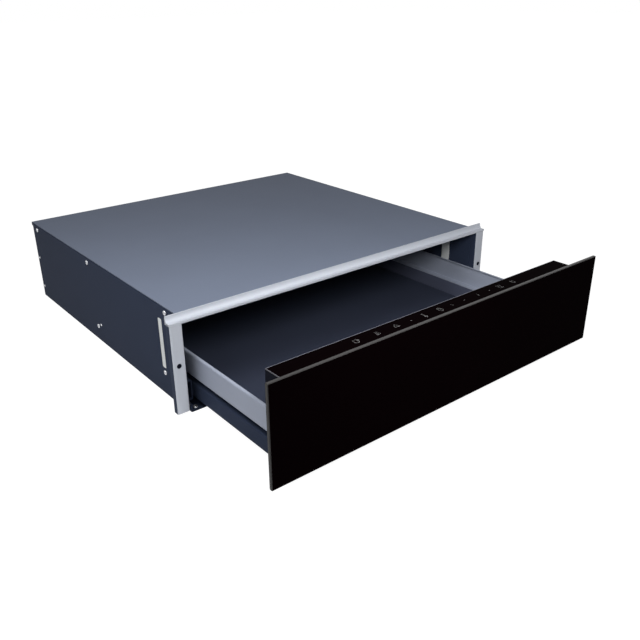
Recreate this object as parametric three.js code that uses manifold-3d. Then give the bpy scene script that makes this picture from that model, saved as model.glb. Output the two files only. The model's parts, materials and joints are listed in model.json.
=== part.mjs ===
// A built-in warming drawer: a sheet-metal housing with a trim frame, and a heated
// drawer on two ball-bearing slides behind a frameless glass front.
//
// Millimetres. X runs across the front, +Y runs back into the cabinet, +Z is up.
// The origin is on the underside of the housing, halfway across, in the plane of the
// cabinet's front edge. The drawer is drawn partly open, as it stands at rest here.

import * as THREE from 'three';
import { mergeVertices } from 'three/addons/utils/BufferGeometryUtils.js';
import Module from 'manifold-3d';

const wasm = await Module();
wasm.setup();

// ---------------------------------------------------------------- driving dimensions

const sheet = 1.2;                  // casing sheet
const bendRadius = 1;               // inside radius of every fold
const contactGap = 0.3;             // between pieces that are fastened together
const slidingGap = 0.6;             // between pieces that pass each other
const cutPast = 1;                  // how far a cutting solid reaches past what it cuts
const smallSideCount = 10;          // sides of the polygon that stands for a small round
const holeSideCount = 16;
const roundSideCount = 20;
const fanSideCount = 36;

const housingWidth = 558;
const housingDepth = 520;
const housingHeight = 138;
const housingFlange = 10;           // folded edge that takes the casing screws
const baseReach = 9;                // of the base panel forward between the posts
const lidOverhang = 4;              // of the top cover past the rear panel
const lidLip = 7;                   // depth of the cover's turned-down edges

const frameReach = 18.5;            // of the frame past each side of the housing
const frameDepth = 11;              // of the trim frame in front of the cabinet
const frameBottom = 5;              // height of the posts' lower ends
const frameTop = 142;               // top of the rail's rear lip
const ledgeHeight = 134;            // the flat front ledge of the rail
const ledgeDepth = 5;
const noseHeight = 3;               // of the rail's front edge under the ledge
const railWall = 1.6;
const postSheet = 1.5;
const postTail = 16;                // how far the post runs back along the side panel
const postBackFlange = 13;
const postHoleDiameter = 7;
const postHoleHeight = 74;
const postHoleFromOutside = 8.5;
const capFlange = 1.6;              // of the plug behind the post's face, all round
const capThickness = 1.2;

const glassHeight = 135;
const glassBottom = 8;
const glassThickness = 5;
const glassCorner = 1;
const frontPlateSheet = 1.5;
const frontPlateMargin = 5;         // to the housing's width, at each end
const frontPlateBottom = 11;
const frontPlateTop = 130;

const drawerOpening = 204;          // how far the drawer stands open at rest
const fullTravel = 330;             // from shut to the slides' end stops
const boxSideSpace = 13;            // from the housing's side to the control box
const boxDepth = 45;
const boxTop = 130;
const boxBottom = 48;
const boxSheet = 1.5;
const touchStrip = 2;               // thickness of the control strip's glass
const boardThickness = 1.6;
const controlBoardWidth = 330;
const controlBoardDepth = 26;
const controlBoardDrop = 6;         // below the inside of the box top
const powerBoardWidth = 150;
const powerBoardRise = 6;
const displayWidth = 40;
const displayDepth = 14;
const displayHeight = 4;
const processorSize = 14;
const processorHeight = 2;
const processorAcross = 60;
const transformerWidth = 32;
const transformerDepth = 22;
const transformerHeight = 22;
const transformerAcross = -50;
const relayWidth = 16;
const relayDepth = 14;
const relayHeight = 14;
const relayPitch = 22;
const relayAcross = 4;
const solderBite = 0.5;             // of a component into its board
const standoffDiameter = 6;
const standoffFromEnd = 8;

const runnerSpace = 27;             // from the housing's side to the drawer wall
const latchSpace = 45.1;            // behind the shut drawer, to the rear panel
const drawerWallTop = 76;
const drawerBottom = 4;
const wallHem = 4;                  // turned-in top edge of the walls
const wallFoot = 14;                // turned-in lower edge of the walls
const rearWallTop = 112;
const plateThickness = 4;
const plateUnderside = 16;
const plateCorner = 6;
const ductDepth = 62;               // of the fan space behind the warming plate

const slideHeight = 24;             // of the member on the drawer
const slideDepth = 10.5;
const slideSheet = 1.4;
const slideCentre = 22.4;
const outerSlideFront = 36;
const outerSlideRearSpace = 18.8;   // from its end to the rear panel
const outerSlideDepth = 13.2;
const outerSlideLip = 3;
const ballDiameter = 5;
const ballCount = 6;                // in each of a cage's two rows
const ballPitch = 16;
const cageSheet = 0.8;
const cageLength = 100;
const cageDepth = 8;
const cageEndMargin = 4;            // to the slide's front end at full travel
const bracketDepth = 10.5;
const bracketHeight = 29;
const bracketFront = 2;
const footBracketHeight = 12;
const footBracketShelf = 15;

const ventFront = 48;               // the tall slot near the front of each side
const ventWidth = 10;
const ventBottom = 42;
const ventTop = 116;
const ventCorner = 2;
const insertFlange = 3;             // of the slot's insert, inside the panel
const insertThickness = 1.5;
const insertCorner = 3;

const fanDiameter = 72;
const fanDepth = 18;
const fanHubDiameter = 20;
const fanEye = 44;                  // the wheel's open inlet
const fanBladeCount = 12;
const fanBladeThickness = 1.2;
const fanPlate = 1.5;
const fanHubShare = 0.6;            // of the wheel's depth
const fanHeight = 68;               // of the fan's axis
const fanToMotor = 4.3;
const shaftDiameter = 5;
const shaftClearance = 0.2;
const shaftInMotor = 12;
const motorDiameter = 46;
const motorLength = 26;
const motorFootWidth = 58;
const motorFootSheet = 2;
const motorFootCorner = 8;

const grilleSlotWidth = 4;
const grilleRings = 3;
const grillePitch = 8;
const grilleBridge = 5;             // metal between the slots of a ring, with their gap
const grilleTwist = 0.4;            // radians from one ring to the next
const grilleCutDepth = 4;
const outletWidth = 70;
const outletHeight = 4;
const outletPitch = 9;
const outletRows = 4;
const outletFromCentre = 150;
const outletBottom = 46;

const elementTube = 6.5;
const elementRun = 380;
const elementPitch = 44;
const elementRuns = 6;
const elementFront = 46;            // from the drawer's front to the first run

const thermostatDiameter = 16;
const thermostatHeight = 6;
const thermostatBrim = 2;           // both its height and its width
const thermostatRun = 2.5;          // midway between two runs of the element

const louvreWidth = 60;
const louvreHeight = 4;
const louvrePitch = 11;
const louvreRows = 4;
const louvreColumns = 4;
const louvreColumnPitch = 84;
const louvreBottom = 72;
const louvreReach = 3;
const louvreSlotInset = 1;          // of the slot from each end of its hood
const louvreSlotPast = 0.2;         // of the slot's cut into the hood

const inletWidth = 62;
const inletHeight = 46;
const inletDepth = 20;
const inletCentre = -178;           // across the rear panel
const inletBottom = 18;
const inletSheet = 2;
const cableHoleDiameter = 12;
const grommetFlange = 2;            // round the hole, on both faces of the panel
const terminalWidth = 40;
const terminalHeight = 16;
const terminalDepth = 11;
const terminalCount = 3;
const terminalScrew = 7;

const latchCentre = 150;            // across the drawer
const latchWidth = 26;
const latchHeight = 24;
const latchLength = 29;
const latchAxis = 14;
const latchCorner = 3;
const plungerDiameter = 9;
const plungerClearance = 0.3;
const plungerTravel = 4;
const plungerHeld = 16;             // of the plunger inside its body
const strikerThickness = 3;
const strikerCorner = 2;

// ------------------------------------------------------------------ derived positions

const halfHousing = housingWidth / 2;
const insideHousing = halfHousing - sheet;
const halfFrame = halfHousing + frameReach;
const halfBox = halfHousing - boxSideSpace;
const railUnderside = ledgeHeight - noseHeight;
const postTop = railUnderside - contactGap;
const lidUnderside = housingHeight - sheet;
const panelTop = lidUnderside - contactGap;
const rearFace = housingDepth - sheet;
const baseRear = rearFace - contactGap;

const glassBack = -frameDepth - slidingGap - drawerOpening;
const glassFront = glassBack - glassThickness;
const frontPlateFront = glassBack + contactGap;
const frontPlateBack = frontPlateFront + frontPlateSheet;
const boxFront = frontPlateBack + contactGap;
const boxRear = glassBack + boxDepth;
const boxShellTop = boxTop - touchStrip - contactGap;
const drawerFront = boxRear + contactGap;
const drawerRear = rearFace - latchSpace - drawerOpening;
const halfDrawer = halfHousing - runnerSpace;
const outerSlideRear = rearFace - outerSlideRearSpace;
const insideDrawer = halfDrawer - sheet - contactGap;
const panUnderside = drawerBottom + sheet + bendRadius;
const panTop = plateUnderside - contactGap;
const plateTop = plateUnderside + plateThickness;
const fanCoverFront = drawerRear - ductDepth;
const fanCoverBack = drawerRear - sheet - contactGap;

const bracketFace = insideHousing - contactGap - bracketDepth;
const outerSlideBack = bracketFace - contactGap;
const outerSlideMouth = outerSlideBack - outerSlideDepth;
const drawerSlideBack = halfDrawer + contactGap;
const drawerSlideFace = drawerSlideBack + slideDepth;
const wallFace = drawerSlideFace;
const slideTop = slideCentre + slideHeight / 2;
const slideBottom = slideCentre - slideHeight / 2;
const ballAcross = outerSlideBack - outerSlideDepth / 2;
const ballRise = slideHeight / 2 + contactGap + ballDiameter / 2;
const outerSlideRise = ballRise + ballDiameter / 2 + contactGap + slideSheet;
const wallStep = slideCentre + outerSlideRise + slidingGap;
const skirtTop = wallStep - contactGap;
const bracketBottom = footBracketHeight + contactGap;
const bracketTop = bracketBottom + bracketHeight;
const cageWeb = drawerSlideFace + slidingGap;
const cageFront = outerSlideFront + cageEndMargin + fullTravel / 2 - drawerOpening / 2;

const motorBack = drawerRear - sheet - contactGap;
const motorFront = motorBack - motorLength;
const fanBack = motorFront - fanToMotor;
const fanFront = fanBack - fanDepth;

const latchBack = baseRear - sheet - bendRadius - contactGap;
const latchFront = latchBack - latchLength;
const strikerBack = drawerRear + contactGap + strikerThickness;
const plungerTip = strikerBack + drawerOpening + contactGap;

// -------------------------------------------------------------------------- materials

function finish(color, roughness, metalness) {
  return new THREE.MeshStandardMaterial({ color, roughness, metalness, flatShading: true });
}

const darkPaint = finish(0x2f3544, 0.45, 0.3);
const coverPaint = finish(0x6f7585, 0.4, 0.35);
const frameSilver = finish(0xb9bec9, 0.35, 0.8);
const slideZinc = finish(0x9298a6, 0.35, 0.85);
const blackGlass = finish(0x050405, 0.06, 0);
const blackPlastic = finish(0x101218, 0.4, 0);
const paleNylon = finish(0xd4d5cf, 0.5, 0);
const boardGreen = finish(0x1e5a3a, 0.6, 0);
const brightSteel = finish(0xc4c8cf, 0.25, 1);
const plateGlass = finish(0x232833, 0.15, 0);
const fanAluminium = finish(0xaab0b8, 0.4, 0.9);

// ------------------------------------------------------------------- forming the metal

/** Fillets a polyline's corners and gives each sample its left-hand normal. */
function filletedPath(corners, radius) {
  const points = corners.map(([a, b]) => new THREE.Vector2(a, b));
  const samples = [];
  const add = (point, direction) => {
    samples.push({ point, normal: new THREE.Vector2(-direction.y, direction.x) });
  };
  points.forEach((corner, index) => {
    const before = index > 0 ? corner.clone().sub(points[index - 1]).normalize() : null;
    const after = index < points.length - 1
      ? points[index + 1].clone().sub(corner).normalize() : null;
    if (!before || !after) {
      add(corner, before ?? after);
      return;
    }
    const turn = Math.atan2(before.cross(after), before.dot(after));
    const setback = radius * Math.tan(Math.abs(turn) / 2);
    const start = corner.clone().addScaledVector(before, -setback);
    const side = Math.sign(turn);
    const inward = new THREE.Vector2(-before.y, before.x).multiplyScalar(side);
    const centre = start.clone().addScaledVector(inward, radius);
    const steps = Math.max(2, Math.round(Math.abs(turn) / (Math.PI / 6)));
    for (let step = 0; step <= steps; step += 1) {
      const angle = (turn * step) / steps;
      const spoke = inward.clone().negate().rotateAround(new THREE.Vector2(), angle);
      add(centre.clone().addScaledVector(spoke, radius), before.clone()
        .rotateAround(new THREE.Vector2(), angle));
    }
  });
  return samples;
}

/** The section of a folded strip whose middle follows the given corners. */
function foldedSection(corners, thickness, insideRadius = bendRadius) {
  const samples = filletedPath(corners, insideRadius + thickness / 2);
  const offset = (sample, distance) => sample.point.clone()
    .addScaledVector(sample.normal, distance);
  const left = samples.map((sample) => offset(sample, thickness / 2));
  const right = samples.map((sample) => offset(sample, -thickness / 2)).reverse();
  return new THREE.Shape([...left, ...right]);
}

function rectangle(width, height, x = 0, y = 0) {
  return new THREE.Shape([
    new THREE.Vector2(x, y),
    new THREE.Vector2(x + width, y),
    new THREE.Vector2(x + width, y + height),
    new THREE.Vector2(x, y + height),
  ]);
}

function roundedRectangle(x0, x1, y0, y1, radius) {
  const shape = new THREE.Shape();
  shape.moveTo(x0 + radius, y0);
  shape.lineTo(x1 - radius, y0);
  shape.absarc(x1 - radius, y0 + radius, radius, -Math.PI / 2, 0, false);
  shape.lineTo(x1, y1 - radius);
  shape.absarc(x1 - radius, y1 - radius, radius, 0, Math.PI / 2, false);
  shape.lineTo(x0 + radius, y1);
  shape.absarc(x0 + radius, y1 - radius, radius, Math.PI / 2, Math.PI, false);
  shape.lineTo(x0, y0 + radius);
  shape.absarc(x0 + radius, y0 + radius, radius, Math.PI, 1.5 * Math.PI, false);
  return shape;
}

function disc(radius, segments, x = 0, y = 0) {
  const points = [];
  for (let step = 0; step < segments; step += 1) {
    const angle = (2 * Math.PI * (step + 0.5)) / segments;
    points.push(new THREE.Vector2(x + radius * Math.cos(angle), y + radius * Math.sin(angle)));
  }
  return new THREE.Shape(points);
}

function extrude(shape, depth) {
  return new THREE.ExtrudeGeometry(shape, { depth, bevelEnabled: false, curveSegments: 4 });
}

function oriented(geometry, first, second, third) {
  return geometry.applyMatrix4(new THREE.Matrix4().makeBasis(first, second, third));
}

const axisX = new THREE.Vector3(1, 0, 0);
const axisY = new THREE.Vector3(0, 1, 0);
const axisZ = new THREE.Vector3(0, 0, 1);

/** A section drawn in (Y, Z), extruded from one X to another. */
function alongX(shape, from, to) {
  return oriented(extrude(shape, to - from), axisY, axisZ, axisX).translate(from, 0, 0);
}

/** A section drawn in (X, Z), extruded from one Y to another. */
function alongY(shape, from, to) {
  return oriented(extrude(shape, to - from), axisX, axisZ, axisY.clone().negate())
    .translate(0, to, 0);
}

/** A section drawn in (X, Y), extruded from one Z to another. */
function alongZ(shape, from, to) {
  return extrude(shape, to - from).translate(0, 0, from);
}

function block(x0, x1, y0, y1, z0, z1) {
  return alongZ(rectangle(x1 - x0, y1 - y0, x0, y0), z0, z1);
}

function solid(geometry) {
  const bare = geometry.clone();
  bare.deleteAttribute('normal');
  bare.deleteAttribute('uv');
  const merged = mergeVertices(bare);
  return new wasm.Manifold(new wasm.Mesh({
    numProp: 3,
    vertProperties: new Float32Array(merged.attributes.position.array),
    triVerts: new Uint32Array(merged.index.array),
  }));
}

function geometryOf(body) {
  const mesh = body.getMesh();
  const geometry = new THREE.BufferGeometry();
  geometry.setAttribute('position', new THREE.BufferAttribute(mesh.vertProperties, 3));
  geometry.setIndex(new THREE.BufferAttribute(mesh.triVerts, 1));
  return geometry;
}

/** Joins the first list of geometries and cuts the second list out of them. */
function formed(joined, removed = []) {
  let body = solid(joined[0]);
  joined.slice(1).forEach((piece) => {
    body = body.add(solid(piece));
  });
  removed.forEach((tool) => {
    body = body.subtract(solid(tool));
  });
  return geometryOf(body);
}

const object = new THREE.Group();
const housing = new THREE.Group();
const drawer = new THREE.Group();
object.add(housing, drawer);

function place(group, name, geometry, material) {
  const mesh = new THREE.Mesh(geometry, material);
  mesh.name = name;
  group.add(mesh);
  return mesh;
}

/** Places a piece drawn for the right-hand side, and its mirror image on the left. */
function placePair(group, name, build, material) {
  [['left', -1], ['right', 1]].forEach(([sideName, side]) => {
    place(group, `${sideName}_${name}`, build(side), material);
  });
}

/** A span in X on the given side, from its distance off the centre line. */
function span(side, near, far) {
  return side > 0 ? [near, far] : [-far, -near];
}

// ------------------------------------------------------------------------ the housing

function basePanel() {
  const edge = insideHousing - contactGap - sheet / 2;
  const tray = foldedSection([
    [-edge, housingFlange],
    [-edge, sheet / 2],
    [edge, sheet / 2],
    [edge, housingFlange],
  ], sheet);
  const rearFold = foldedSection([
    [baseRear - 2 * housingFlange, sheet / 2],
    [baseRear - sheet / 2, sheet / 2],
    [baseRear - sheet / 2, housingFlange],
  ], sheet);
  const foldEnd = edge - sheet - bendRadius;
  return formed([alongY(tray, -baseReach, baseRear), alongX(rearFold, -foldEnd, foldEnd)]);
}

function sidePanel(side) {
  const wall = side * (halfHousing - sheet / 2);
  const section = foldedSection([
    [wall, 0],
    [wall, panelTop - sheet / 2],
    [side * (insideHousing - housingFlange), panelTop - sheet / 2],
  ], sheet);
  const slot = roundedRectangle(ventFront, ventFront + ventWidth, ventBottom, ventTop, ventCorner);
  const [near, far] = span(side, insideHousing - cutPast, halfHousing + cutPast);
  const [foldNear, foldFar] = span(side, insideHousing - housingFlange - cutPast,
    insideHousing);
  const rearRelief = block(foldNear, foldFar, rearFace - contactGap, housingDepth + cutPast,
    panelTop - sheet - bendRadius - cutPast, panelTop + cutPast);
  return formed([alongY(section, 0, housingDepth)], [alongX(slot, near, far), rearRelief]);
}

/** A slot through the rear panel with a hood that sheds what drips from above. */
function louvreHood(x, z) {
  const hood = foldedSection([
    [housingDepth - sheet / 2, z + louvreHeight + sheet / 2],
    [housingDepth + louvreReach - sheet / 2, z + sheet],
  ], sheet);
  return alongX(hood, x - louvreWidth / 2, x + louvreWidth / 2);
}

function rearPanel() {
  const edge = insideHousing - contactGap;
  const flangeEnd = insideHousing - housingFlange - 2;
  const wall = block(-edge, edge, rearFace, housingDepth, 0, panelTop);
  const topFlange = block(-flangeEnd, flangeEnd, rearFace - housingFlange, housingDepth,
    panelTop - sheet, panelTop);
  const hoods = [];
  const slots = [];
  for (let column = 0; column < louvreColumns; column += 1) {
    const x = (column - (louvreColumns - 1) / 2) * louvreColumnPitch;
    for (let row = 0; row < louvreRows; row += 1) {
      const z = louvreBottom + row * louvrePitch;
      hoods.push(louvreHood(x, z));
      const half = louvreWidth / 2 - louvreSlotInset;
      slots.push(block(x - half, x + half, rearFace - cutPast,
        housingDepth + louvreSlotPast, z, z + louvreHeight));
    }
  }
  const cableHole = alongY(disc((cableHoleDiameter + 2 * contactGap) / 2, roundSideCount,
    inletCentre, inletBottom + inletHeight / 2), rearFace - cutPast, housingDepth + cutPast);
  return formed([formed([wall, topFlange], [...slots, cableHole]), ...hoods]);
}

function topCover() {
  const front = contactGap + sheet / 2;
  const rear = housingDepth + lidOverhang - sheet / 2;
  const top = housingHeight - sheet / 2;
  const section = foldedSection([
    [front, housingHeight - lidLip],
    [front, top],
    [rear, top],
    [rear, housingHeight - lidLip],
  ], sheet);
  const cover = alongX(section, -halfHousing, halfHousing);
  const sideRelief = [-1, 1].map((side) => {
    const [near, far] = span(side, insideHousing - housingFlange - slidingGap,
      halfHousing + cutPast);
    return block(near, far, 0, contactGap + sheet + bendRadius, housingHeight - lidLip - cutPast,
      lidUnderside - contactGap + slidingGap);
  });
  return formed([cover], sideRelief);
}

/** The rail over the opening: a flat ledge that sweeps up in a cove to a thin rear lip. */
function topRail() {
  const ledgeBack = -frameDepth + ledgeDepth;
  const coveWidth = -railWall - ledgeBack;
  const coveHeight = frameTop - ledgeHeight;
  const outline = [
    [-frameDepth, railUnderside],
    [-frameDepth + railWall, railUnderside],
    [-frameDepth + railWall, ledgeHeight - railWall],
    [-railWall, ledgeHeight - railWall],
    [-railWall, railUnderside],
    [0, railUnderside],
    [0, frameTop],
  ].map(([y, z]) => new THREE.Vector2(y, z));
  const coveSteps = 8;
  for (let step = coveSteps; step >= 0; step -= 1) {
    const angle = (Math.PI / 2) * (step / coveSteps);
    outline.push(new THREE.Vector2(
      ledgeBack + coveWidth * Math.sin(angle),
      frameTop - coveHeight * Math.cos(angle),
    ));
  }
  outline.push(new THREE.Vector2(-frameDepth, ledgeHeight));
  return alongX(new THREE.Shape(outline), -halfFrame, halfFrame);
}

/** A post folded from one strip: back flange, outer wall, face, and a tail on the panel. */
function frontPost(side) {
  const inner = halfHousing + contactGap + postSheet / 2;
  const outer = halfFrame - postSheet / 2;
  const corners = [
    [inner, postTail],
    [inner, -frameDepth + postSheet / 2],
    [outer, -frameDepth + postSheet / 2],
    [outer, -postSheet / 2],
    [halfFrame - postBackFlange, -postSheet / 2],
  ].map(([x, y]) => [side * x, y]);
  const post = alongZ(foldedSection(corners, postSheet), frameBottom, postTop);
  const hole = alongY(disc(postHoleDiameter / 2, holeSideCount,
    side * (halfFrame - postHoleFromOutside), postHoleHeight), -frameDepth - cutPast, cutPast);
  return formed([post], [hole]);
}

/** The pale plastic insert that fills the tall slot, held by a flange inside the panel. */
function slotInsert(side) {
  const low = Math.max(ventBottom, bracketTop) + contactGap;
  const front = ventFront + contactGap;
  const back = ventFront + ventWidth - contactGap;
  const top = ventTop - contactGap;
  const fill = roundedRectangle(front, back, ventBottom + contactGap, top, ventCorner);
  const neck = roundedRectangle(front, back, low, top, ventCorner);
  const flange = roundedRectangle(ventFront - insertFlange,
    ventFront + ventWidth + insertFlange, low, ventTop + insertFlange, insertCorner);
  const flangeFace = insideHousing - contactGap;
  const parts = [[fill, insideHousing, halfHousing], [neck, flangeFace - cutPast, halfHousing],
    [flange, flangeFace - insertThickness, flangeFace]];
  return formed(parts.map(([shape, inner, outer]) => {
    const [near, far] = span(side, inner, outer);
    return alongX(shape, near, far);
  }));
}

/** The plug that closes a post's hole, pushed in from behind. */
function holeCap(side) {
  const stem = postHoleDiameter / 2 - contactGap;
  const shoulder = postSheet + contactGap;
  const profile = [
    [0, 0],
    [stem, 0],
    [stem, shoulder],
    [stem + capFlange, shoulder],
    [stem + capFlange, shoulder + capThickness],
    [0, shoulder + capThickness],
  ].map(([radius, along]) => new THREE.Vector2(radius, along));
  return new THREE.LatheGeometry(profile, roundSideCount)
    .translate(side * (halfFrame - postHoleFromOutside), -frameDepth, postHoleHeight);
}

/** The small angle that ties the foot of a post's opening to the base panel. */
function footBracket(side) {
  const wall = insideHousing - contactGap - sheet - contactGap - sheet / 2;
  const shelf = sheet + contactGap + sheet / 2;
  const section = foldedSection([
    [side * wall, footBracketHeight],
    [side * wall, shelf],
    [side * (wall - footBracketShelf), shelf],
  ], sheet);
  return alongY(section, -baseReach, 2 * housingFlange);
}

function slideBracket(side) {
  const web = bracketFace + sheet / 2;
  const wall = insideHousing - contactGap;
  const low = bracketBottom + sheet / 2;
  const high = bracketTop - sheet / 2;
  const section = foldedSection([
    [side * wall, low],
    [side * web, low],
    [side * web, high],
    [side * wall, high],
  ], sheet);
  return alongY(section, bracketFront, outerSlideRear);
}

/** The housing's slide member: a channel whose lips hook over the two rows of balls. */
function outerSlide(side) {
  const web = outerSlideBack - slideSheet / 2;
  const mouth = outerSlideMouth + slideSheet / 2;
  const rise = outerSlideRise - slideSheet / 2;
  const section = foldedSection([
    [side * mouth, slideCentre + rise - outerSlideLip],
    [side * mouth, slideCentre + rise],
    [side * web, slideCentre + rise],
    [side * web, slideCentre - rise],
    [side * mouth, slideCentre - rise],
    [side * mouth, slideCentre - rise + outerSlideLip],
  ], slideSheet);
  return alongY(section, outerSlideFront, outerSlideRear);
}

function ballCage(side) {
  const web = cageWeb + cageSheet / 2;
  const section = foldedSection([
    [side * (web - cageDepth), slideCentre + ballRise],
    [side * web, slideCentre + ballRise],
    [side * web, slideCentre - ballRise],
    [side * (web - cageDepth), slideCentre - ballRise],
  ], cageSheet);
  const strip = alongY(section, cageFront, cageFront + cageLength);
  const balls = [];
  const firstBall = cageFront + (cageLength - (ballCount - 1) * ballPitch) / 2;
  [-1, 1].forEach((row) => {
    for (let index = 0; index < ballCount; index += 1) {
      balls.push(new THREE.SphereGeometry(ballDiameter / 2, 10, 6)
        .rotateX(Math.PI / 2)
        .translate(side * ballAcross, firstBall + index * ballPitch,
          slideCentre + row * ballRise));
    }
  });
  return formed([strip, ...balls]);
}

/** The mains terminal box inside the rear panel, open towards the panel. */
function terminalBox() {
  const back = rearFace - contactGap;
  const front = back - inletDepth;
  const left = inletCentre - inletWidth / 2;
  const right = inletCentre + inletWidth / 2;
  const top = inletBottom + inletHeight;
  return formed(
    [block(left, right, front, back, inletBottom, top)],
    [block(left + inletSheet, right - inletSheet, front + inletSheet, back + cutPast,
      inletBottom + inletSheet, top - inletSheet)],
  );
}

function terminalBlock() {
  const front = rearFace - contactGap - inletDepth + inletSheet + contactGap;
  const bottom = inletBottom + inletSheet + contactGap;
  const left = inletCentre - terminalWidth / 2;
  const pitch = terminalWidth / terminalCount;
  const wells = [];
  for (let index = 0; index < terminalCount; index += 1) {
    wells.push(alongY(disc(terminalScrew / 2, smallSideCount, left + (index + 0.5) * pitch,
      bottom + terminalHeight / 2), front + terminalDepth / 2, front + terminalDepth + cutPast));
  }
  return formed([block(left, left + terminalWidth, front, front + terminalDepth, bottom,
    bottom + terminalHeight)], wells);
}

function cableGrommet() {
  const bore = cableHoleDiameter / 2 - grommetFlange;
  const neck = cableHoleDiameter / 2;
  const rim = neck + grommetFlange;
  const half = sheet / 2 + contactGap;
  const profile = [
    [bore, -half - grommetFlange],
    [rim, -half - grommetFlange],
    [rim, -half],
    [neck, -half],
    [neck, half],
    [rim, half],
    [rim, half + grommetFlange],
    [bore, half + grommetFlange],
    [bore, -half - grommetFlange],
  ].map(([radius, along]) => new THREE.Vector2(radius, along));
  return new THREE.LatheGeometry(profile, roundSideCount)
    .translate(inletCentre, housingDepth - sheet / 2, 0)
    .translate(0, 0, inletBottom + inletHeight / 2);
}

/** The push latch that holds the shut drawer and pushes it open when pressed. */
function latchBody() {
  const bottom = sheet + contactGap;
  const bore = alongY(disc(plungerDiameter / 2 + plungerClearance, roundSideCount, latchCentre,
    latchAxis), latchFront - cutPast, latchFront + plungerHeld + plungerTravel + slidingGap);
  const shape = roundedRectangle(latchCentre - latchWidth / 2, latchCentre + latchWidth / 2,
    bottom, bottom + latchHeight, latchCorner);
  return formed([alongY(shape, latchFront, latchBack)], [bore]);
}

function latchPlunger() {
  const length = latchFront + plungerHeld - plungerTip;
  const nose = 2;
  const profile = [
    [0, 0],
    [plungerDiameter / 2 - nose, 0],
    [plungerDiameter / 2, nose],
    [plungerDiameter / 2, length],
    [0, length],
  ].map(([radius, along]) => new THREE.Vector2(radius, along));
  return new THREE.LatheGeometry(profile, roundSideCount).translate(latchCentre, plungerTip, latchAxis);
}

place(housing, 'base_panel', basePanel(), darkPaint);
placePair(housing, 'side_panel', sidePanel, darkPaint);
place(housing, 'rear_panel', rearPanel(), darkPaint);
place(housing, 'top_cover', topCover(), coverPaint);
place(housing, 'top_rail', topRail(), frameSilver);
placePair(housing, 'front_post', frontPost, frameSilver);
placePair(housing, 'slot_insert', slotInsert, paleNylon);
placePair(housing, 'hole_cap', holeCap, blackPlastic);
placePair(housing, 'foot_bracket', footBracket, darkPaint);
placePair(housing, 'slide_bracket', slideBracket, darkPaint);
placePair(housing, 'outer_slide', outerSlide, slideZinc);
placePair(housing, 'ball_cage', ballCage, brightSteel);
place(housing, 'terminal_box', terminalBox(), blackPlastic);
place(housing, 'terminal_block', terminalBlock(), frameSilver);
place(housing, 'cable_grommet', cableGrommet(), blackPlastic);
place(housing, 'latch_body', latchBody(), blackPlastic);
place(housing, 'latch_plunger', latchPlunger(), slideZinc);

// ------------------------------------------------------------------- the drawer's front

function frontGlass() {
  return alongY(roundedRectangle(-halfFrame, halfFrame, glassBottom,
    glassBottom + glassHeight, glassCorner), glassFront, glassBack);
}

/** The steel plate bonded to the glass, with a stiffening fold along its lower edge. */
function frontPlate() {
  const middle = (frontPlateFront + frontPlateBack) / 2;
  const section = foldedSection([
    [middle, frontPlateTop],
    [middle, frontPlateBottom + frontPlateSheet / 2],
    [middle + housingFlange, frontPlateBottom + frontPlateSheet / 2],
  ], frontPlateSheet);
  return alongX(section, -halfHousing + frontPlateMargin, halfHousing - frontPlateMargin);
}

function standoff(x, y, z0, z1) {
  return alongZ(disc(standoffDiameter / 2, smallSideCount, x, y), z0, z1);
}

const boxMiddle = (boxFront + boxRear) / 2;
const controlBoardTop = boxShellTop - boxSheet - controlBoardDrop;
const powerBoardUnderside = boxBottom + boxSheet + powerBoardRise;

function standoffPlaces(width) {
  return [-1, 1].map((end) => end * (width / 2 - standoffFromEnd));
}

/** The control box: a tray open towards the front plate, with posts for its boards. */
function controlBox() {
  const hollow = block(-halfBox + boxSheet, halfBox - boxSheet, boxFront - cutPast,
    boxRear - boxSheet, boxBottom + boxSheet, boxShellTop - boxSheet);
  const shell = formed([block(-halfBox, halfBox, boxFront, boxRear, boxBottom, boxShellTop)],
    [hollow]);
  const upper = standoffPlaces(controlBoardWidth).map((x) => standoff(x, boxMiddle,
    controlBoardTop + contactGap, boxShellTop - boxSheet / 2));
  const lower = standoffPlaces(powerBoardWidth).map((x) => standoff(x, boxMiddle,
    boxBottom + boxSheet / 2, powerBoardUnderside - contactGap));
  return formed([shell, ...upper, ...lower]);
}

function controlStrip() {
  return alongZ(roundedRectangle(-halfBox, halfBox, boxFront, boxRear, glassCorner),
    boxTop - touchStrip, boxTop);
}

function controlBoard() {
  const front = boxMiddle - controlBoardDepth / 2;
  const half = controlBoardWidth / 2;
  const underside = controlBoardTop - boardThickness;
  const board = block(-half, half, front, front + controlBoardDepth, underside, controlBoardTop);
  const display = block(-displayWidth / 2, displayWidth / 2, boxMiddle - displayDepth / 2,
    boxMiddle + displayDepth / 2, controlBoardTop - solderBite,
    controlBoardTop + displayHeight);
  const processor = block(processorAcross, processorAcross + processorSize,
    boxMiddle - processorSize / 2, boxMiddle + processorSize / 2,
    underside - processorHeight, underside + solderBite);
  return formed([board, display, processor]);
}

function powerBoard() {
  const front = boxMiddle - controlBoardDepth / 2;
  const half = powerBoardWidth / 2;
  const top = powerBoardUnderside + boardThickness;
  const board = block(-half, half, front, front + controlBoardDepth, powerBoardUnderside, top);
  const transformer = block(transformerAcross, transformerAcross + transformerWidth,
    boxMiddle - transformerDepth / 2, boxMiddle + transformerDepth / 2, top - solderBite,
    top + transformerHeight);
  const relays = [0, 1].map((index) => {
    const x = relayAcross + index * relayPitch;
    return block(x, x + relayWidth, boxMiddle - relayDepth / 2, boxMiddle + relayDepth / 2,
      top - solderBite, top + relayHeight);
  });
  return formed([board, transformer, ...relays]);
}

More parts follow.
